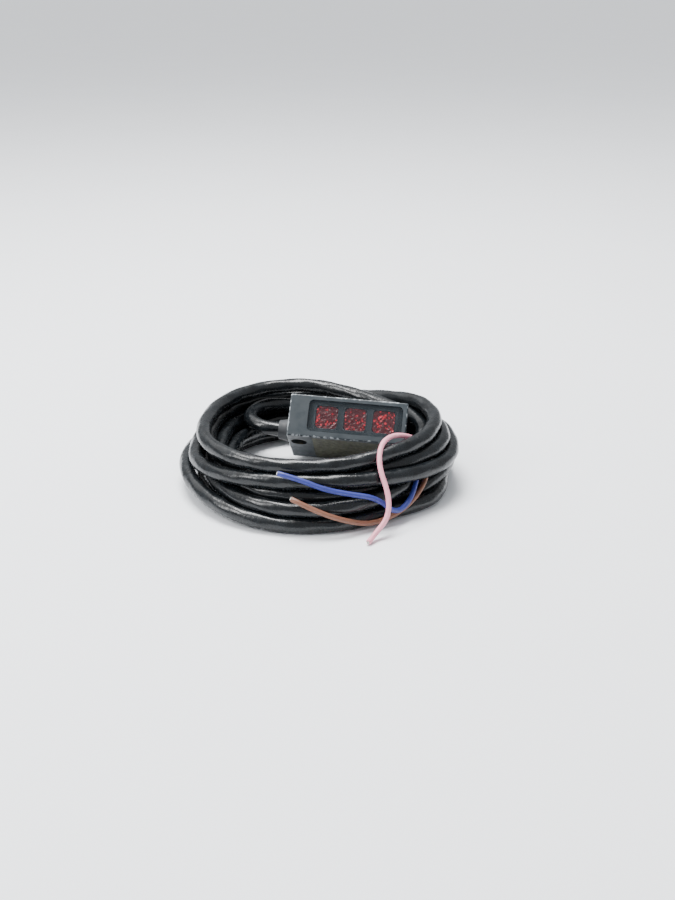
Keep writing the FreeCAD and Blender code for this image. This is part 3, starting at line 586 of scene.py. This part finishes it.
class Finish:
    """A material under construction: a Principled shader with textures in the piece's space."""

    def __init__(self, name, colour, roughness, **sockets):
        self.name = name
        self.material = bpy.data.materials.new(name)
        self.material.use_nodes = True
        self.nodes = self.material.node_tree.nodes
        self.links = self.material.node_tree.links
        self.shader = self.nodes["Principled BSDF"]
        self.colour = colour
        self.set("Base Color", (*colour, 1.0))
        self.set("Roughness", roughness)
        for socket, value in sockets.items():
            self.set(socket.replace("_", " "), value)
        self.coordinates = self.nodes.new("ShaderNodeTexCoord").outputs["Object"]

    def set(self, socket, value):
        """Set one of the shader's own sockets."""
        self.shader.inputs[socket].default_value = value

    def node(self, kind, **values):
        """Add a node and set its inputs by name."""
        made = self.nodes.new(kind)
        for name, value in values.items():
            made.inputs[name].default_value = value
        return made

    def noise(self, size, detail=3.0, stretch=(1.0, 1.0, 1.0)):
        """Noise whose features are about the given size in metres."""
        mapping = self.node("ShaderNodeMapping", Scale=stretch)
        self.links.new(self.coordinates, mapping.inputs["Vector"])
        texture = self.node("ShaderNodeTexNoise", Scale=1.0 / size, Detail=detail)
        self.links.new(mapping.outputs["Vector"], texture.inputs["Vector"])
        return texture.outputs["Fac"]

    def math(self, operation, first, second):
        """Combine two values."""
        node = self.nodes.new("ShaderNodeMath")
        node.operation = operation
        self.links.new(first, node.inputs[0])
        self.links.new(second, node.inputs[1])
        return node.outputs["Value"]

    def vector_math(self, operation, source, second=(0.0, 0.0, 0.0)):
        """Combine a vector with a constant one."""
        node = self.nodes.new("ShaderNodeVectorMath")
        node.operation = operation
        self.links.new(source, node.inputs[0])
        node.inputs[1].default_value = second
        return node.outputs["Vector"]

    def steps(self, source, low, high, dark, light):
        """Turn a value between two limits into a colour between two colours."""
        ramp = self.nodes.new("ShaderNodeValToRGB")
        ramp.color_ramp.elements[0].position = low
        ramp.color_ramp.elements[1].position = high
        ramp.color_ramp.elements[0].color = (*dark, 1.0)
        ramp.color_ramp.elements[1].color = (*light, 1.0)
        self.links.new(source, ramp.inputs["Fac"])
        return ramp.outputs["Color"]

    def tint(self, source, low, high, dark, light):
        """Vary the base colour between two multiples of the material's own colour."""
        first = tuple(channel * dark for channel in self.colour)
        second = tuple(min(1.0, channel * light) for channel in self.colour)
        varied = self.steps(source, low, high, first, second)
        self.links.new(varied, self.shader.inputs["Base Color"])

    def shine(self, source, low, high):
        """Vary the roughness between two values."""
        limits = {"From Min": 0.3, "From Max": 0.7, "To Min": low, "To Max": high}
        stretched = self.node("ShaderNodeMapRange", **limits)
        self.links.new(source, stretched.inputs["Value"])
        self.links.new(stretched.outputs["Result"], self.shader.inputs["Roughness"])

    def relief(self, source, depth):
        """Bump the surface by a depth in metres."""
        bump = self.node("ShaderNodeBump", Strength=1.0, Distance=depth)
        self.links.new(source, bump.inputs["Height"])
        self.links.new(bump.outputs["Normal"], self.shader.inputs["Normal"])

    def transparent(self):
        """Let the surface be seen through as its alpha says."""
        self.material.surface_render_method = "BLENDED"
        return self


def moulded(name, colour, roughness, grain=0.0004, depth=0.00001, **sockets):
    """Moulded plastic: fine grain, faint blotches and handling shine."""
    finish = Finish(name, colour, roughness, **sockets)
    finish.tint(finish.noise(0.004), 0.3, 0.7, 0.85, 1.15)
    finish.shine(finish.noise(0.002), roughness - 0.08, roughness + 0.08)
    finish.relief(finish.noise(grain, 2.0), depth)
    return finish


def edge_closeness(finish):
    """Distance inside the head's nearest edge, in metres and negative, as a shader value."""
    head_space = finish.node(
        "ShaderNodeMapping", Location=HEAD.translation, Rotation=HEAD.to_euler()
    )
    head_space.vector_type = "TEXTURE"
    finish.links.new(finish.coordinates, head_space.inputs["Vector"])
    middle = [size / 2 for size in HEAD_SIZE]
    centred = finish.vector_math("SUBTRACT", head_space.outputs["Vector"], middle)
    inside = finish.vector_math("SUBTRACT", finish.vector_math("ABSOLUTE", centred), middle)
    split = finish.nodes.new("ShaderNodeSeparateXYZ")
    finish.links.new(inside, split.inputs["Vector"])
    x, y, z = split.outputs
    lower = finish.math("MINIMUM", x, y)
    higher = finish.math("MINIMUM", finish.math("MAXIMUM", x, y), z)
    return finish.math("MAXIMUM", lower, higher)


def case_plastic():
    """Dark slate plastic, pale along its edges, partly worn and partly a painted edge highlight, and
    specked by handling.
    """
    finish = Finish("case_plastic", (0.016, 0.024, 0.030), 0.46)
    base = finish.steps(
        finish.noise(0.005), 0.3, 0.7, (0.013, 0.020, 0.025), (0.019, 0.028, 0.035)
    )
    # Pale towards every edge of the head: partly worn edges, partly a painted highlight on the
    # rounded edges.
    rubbed_and_lit_edge = finish.node(
        "ShaderNodeMapRange",
        **{"From Min": -0.0008, "From Max": -0.0002, "To Min": 0.0, "To Max": 0.32},
    )
    finish.links.new(edge_closeness(finish), rubbed_and_lit_edge.inputs["Value"])
    scuffs_and_edge_light = finish.math("ADD", finish.noise(0.0011, 5.0), rubbed_and_lit_edge.outputs["Result"])
    # Pale specks from handling, with the painted edge highlight mixed in.
    wear_and_edge_light = finish.steps(scuffs_and_edge_light, 0.79, 0.89, (0.0, 0.0, 0.0), (1.0, 1.0, 1.0))
    mix = finish.node("ShaderNodeMixRGB", Color2=(0.30, 0.33, 0.35, 1.0))
    finish.links.new(wear_and_edge_light, mix.inputs["Fac"])
    finish.links.new(base, mix.inputs["Color1"])
    finish.links.new(mix.outputs["Color"], finish.shader.inputs["Base Color"])
    finish.shine(finish.noise(0.002), 0.38, 0.55)
    finish.relief(finish.noise(0.00035, 2.0), 0.000012)
    return finish


def cable_jacket():
    """Black PVC with a satin sheen, faint dust and drawn streaks."""
    finish = Finish("cable_jacket", (0.004, 0.0052, 0.0064), 0.26, Specular_IOR_Level=0.38)
    finish.tint(finish.noise(0.003, 4.0), 0.35, 0.7, 0.7, 1.7)
    finish.shine(finish.noise(0.0018, 4.0), 0.17, 0.34)
    finish.relief(finish.noise(0.0022, 2.0), 0.00012)
    return finish


def insulation(colour_name, colour):
    """Soft coloured insulation of a stripped core."""
    finish = Finish(f"{colour_name}_insulation", colour, 0.42)
    finish.set("Subsurface Weight", 0.05)
    finish.set("Subsurface Radius", (0.0008, 0.0005, 0.0005))
    finish.tint(finish.noise(0.0015), 0.3, 0.7, 0.88, 1.08)
    finish.shine(finish.noise(0.001), 0.34, 0.52)
    finish.relief(finish.noise(0.0005), 0.00001)
    return finish


def red_window():
    """Deep red lens with painted glints: scattered vivid red cells in the base colour stand in for
    facets that catch the light.
    """
    finish = Finish("red_window", (0.10, 0.002, 0.004), 0.18, Coat_Weight=0.3)
    # Painted glints: the highest of the random cell values are coloured vivid red.
    cells = finish.node("ShaderNodeTexVoronoi", Scale=2300.0)
    finish.links.new(finish.coordinates, cells.inputs["Vector"])
    painted_glint = finish.nodes.new("ShaderNodeSeparateColor")
    finish.links.new(cells.outputs["Color"], painted_glint.inputs["Color"])
    dark, glint_red = (0.11, 0.002, 0.004), (1.0, 0.04, 0.06)
    colour = finish.steps(painted_glint.outputs["Red"], 0.84, 0.97, dark, glint_red)
    finish.links.new(colour, finish.shader.inputs["Base Color"])
    finish.shine(finish.noise(0.001), 0.12, 0.30)
    finish.relief(cells.outputs["Distance"], 0.00006)
    return finish


def clear_panel():
    """Smoky clear plastic, seen through."""
    finish = Finish("clear_panel", (0.018, 0.026, 0.033), 0.12, Alpha=0.22, Coat_Weight=0.1)
    finish.tint(finish.noise(0.006), 0.3, 0.7, 0.9, 1.1)
    finish.shine(finish.noise(0.0015, 4.0), 0.07, 0.20)
    finish.relief(finish.noise(0.002), 0.000006)
    return finish.transparent()


def clear_guide():
    """Milky clear plastic that carries the indicators' light."""
    finish = Finish("clear_guide", (0.55, 0.58, 0.55), 0.22, Alpha=0.55)
    finish.tint(finish.noise(0.001), 0.3, 0.7, 0.9, 1.1)
    finish.shine(finish.noise(0.0008), 0.16, 0.32)
    finish.relief(finish.noise(0.0006), 0.00001)
    return finish.transparent()


def label_film():
    """A dark olive label, left blank, with a faint woven ribbing."""
    finish = Finish("label_film", (0.034, 0.034, 0.018), 0.55)
    finish.tint(finish.noise(0.0012, 4.0), 0.35, 0.7, 0.7, 1.7)
    finish.shine(finish.noise(0.001), 0.45, 0.65)
    finish.relief(finish.noise(0.0004, 2.0, stretch=(1.0, 0.15, 0.15)), 0.00003)
    return finish


def metal(name, colour, roughness, depth=0.00001):
    """Machined metal: fine turning marks and a little tarnish."""
    finish = Finish(name, colour, roughness, Metallic=1.0)
    finish.tint(finish.noise(0.0012), 0.3, 0.7, 0.75, 1.05)
    finish.shine(finish.noise(0.0006, 4.0), roughness - 0.08, roughness + 0.14)
    finish.relief(finish.noise(0.0003, 2.0, stretch=(1.0, 1.0, 6.0)), depth)
    return finish


def rubber(name, colour):
    """Matt rubber with a faint bloom."""
    finish = Finish(name, colour, 0.62)
    finish.tint(finish.noise(0.002, 4.0), 0.35, 0.7, 0.8, 1.5)
    finish.shine(finish.noise(0.001), 0.52, 0.72)
    finish.relief(finish.noise(0.0005, 3.0), 0.00003)
    return finish


def make_materials():
    """One finish for each material slot of the record."""
    finishes = [
        case_plastic(),
        cable_jacket(),
        red_window(),
        clear_panel(),
        clear_guide(),
        label_film(),
        moulded("cover_plastic", (0.018, 0.025, 0.030), 0.50),
        moulded("mask_film", (0.017, 0.025, 0.031), 0.38),
        moulded("holder_plastic", (0.012, 0.012, 0.013), 0.6),
        moulded("chip_resin", (0.05, 0.03, 0.06), 0.25),
        moulded("circuit_board", (0.02, 0.12, 0.05), 0.4),
        moulded("orange_led", (0.75, 0.25, 0.04), 0.3),
        moulded("green_led", (0.10, 0.60, 0.12), 0.3),
        moulded("control_plastic", (0.02, 0.03, 0.10), 0.4),
        moulded("dial_plastic", (0.50, 0.50, 0.47), 0.42),
        rubber("seal_rubber", (0.02, 0.02, 0.022)),
        rubber("gland_rubber", (0.022, 0.024, 0.027)),
        metal("insert_brass", (0.72, 0.54, 0.27), 0.3, 0.00003),
        metal("shield_steel", (0.62, 0.63, 0.64), 0.32),
        metal("clamp_steel", (0.66, 0.64, 0.60), 0.3),
        insulation("lead", (0.40, 0.38, 0.36)),
        insulation("pink", (0.80, 0.32, 0.40)),
        insulation("blue", (0.020, 0.030, 0.20)),
        insulation("brown", (0.17, 0.070, 0.040)),
        insulation("black", (0.015, 0.015, 0.017)),
    ]
    return {finish.name: finish.material for finish in finishes}


def dress_nodes(materials):
    """Give every CAD node the finish that has its own material's name."""
    for node in frame["nodes"].values():
        for place in node.material_slots:
            place.material = materials[place.material.name]


# ---------------------------------------------------------------- studio


def make_floor():
    """A plain pale floor, which isn't part of the object."""
    body = bmesh.new()
    bmesh.ops.create_grid(body, x_segments=2, y_segments=2, size=FLOOR_SIZE)
    mesh = bpy.data.meshes.new("floor")
    body.to_mesh(mesh)
    body.free()
    floor = bpy.data.objects.new("floor", mesh)
    bpy.context.scene.collection.objects.link(floor)
    finish = Finish("floor_paper", (0.90, 0.92, 0.95), 0.75)
    finish.tint(finish.noise(0.05), 0.3, 0.7, 0.985, 1.0)
    mesh.materials.append(finish.material)


def area_light(name, place, size, power):
    """A softbox that points at the object."""
    data = bpy.data.lights.new(name, "AREA")
    data.shape = "RECTANGLE"
    data.size, data.size_y = size
    data.energy = power
    light = bpy.data.objects.new(name, data)
    light.location = place
    towards = Vector(LIGHT_TARGET) - Vector(place)
    light.rotation_euler = towards.to_track_quat("-Z", "Y").to_euler()
    bpy.context.scene.collection.objects.link(light)


def wide_light(name, strength, spread_angle, tilt):
    """A very soft light over the whole floor."""
    data = bpy.data.lights.new(name, "SUN")
    data.energy = strength
    data.angle = spread_angle
    light = bpy.data.objects.new(name, data)
    light.rotation_euler = tilt
    bpy.context.scene.collection.objects.link(light)


def make_studio():
    """Floor, pale surroundings and lights."""
    make_floor()
    world = bpy.data.worlds.new("studio")
    world.use_nodes = True
    background = world.node_tree.nodes["Background"]
    background.inputs["Color"].default_value = (0.95, 0.97, 1.0, 1.0)
    background.inputs["Strength"].default_value = 0.75
    bpy.context.scene.world = world
    area_light("top_softbox", (-0.08, 0.12, 0.55), (0.30, 0.22), 7.0)
    area_light("left_softbox", (-0.45, -0.20, 0.40), (0.12, 0.30), 2.5)
    wide_light("wide_fill", 1.6, 1.2, (-0.3, -0.35, 0.0))


# ---------------------------------------------------------------- assembly


make_camera()
materials = make_materials()
make_cable(materials)
for colour, points in CORE_POINTS.items():
    make_core(colour, points, materials)
for number in range(len(LENS_NODES)):
    make_lens(number, materials)
    make_rim(number, materials)
dress_nodes(materials)
make_studio()
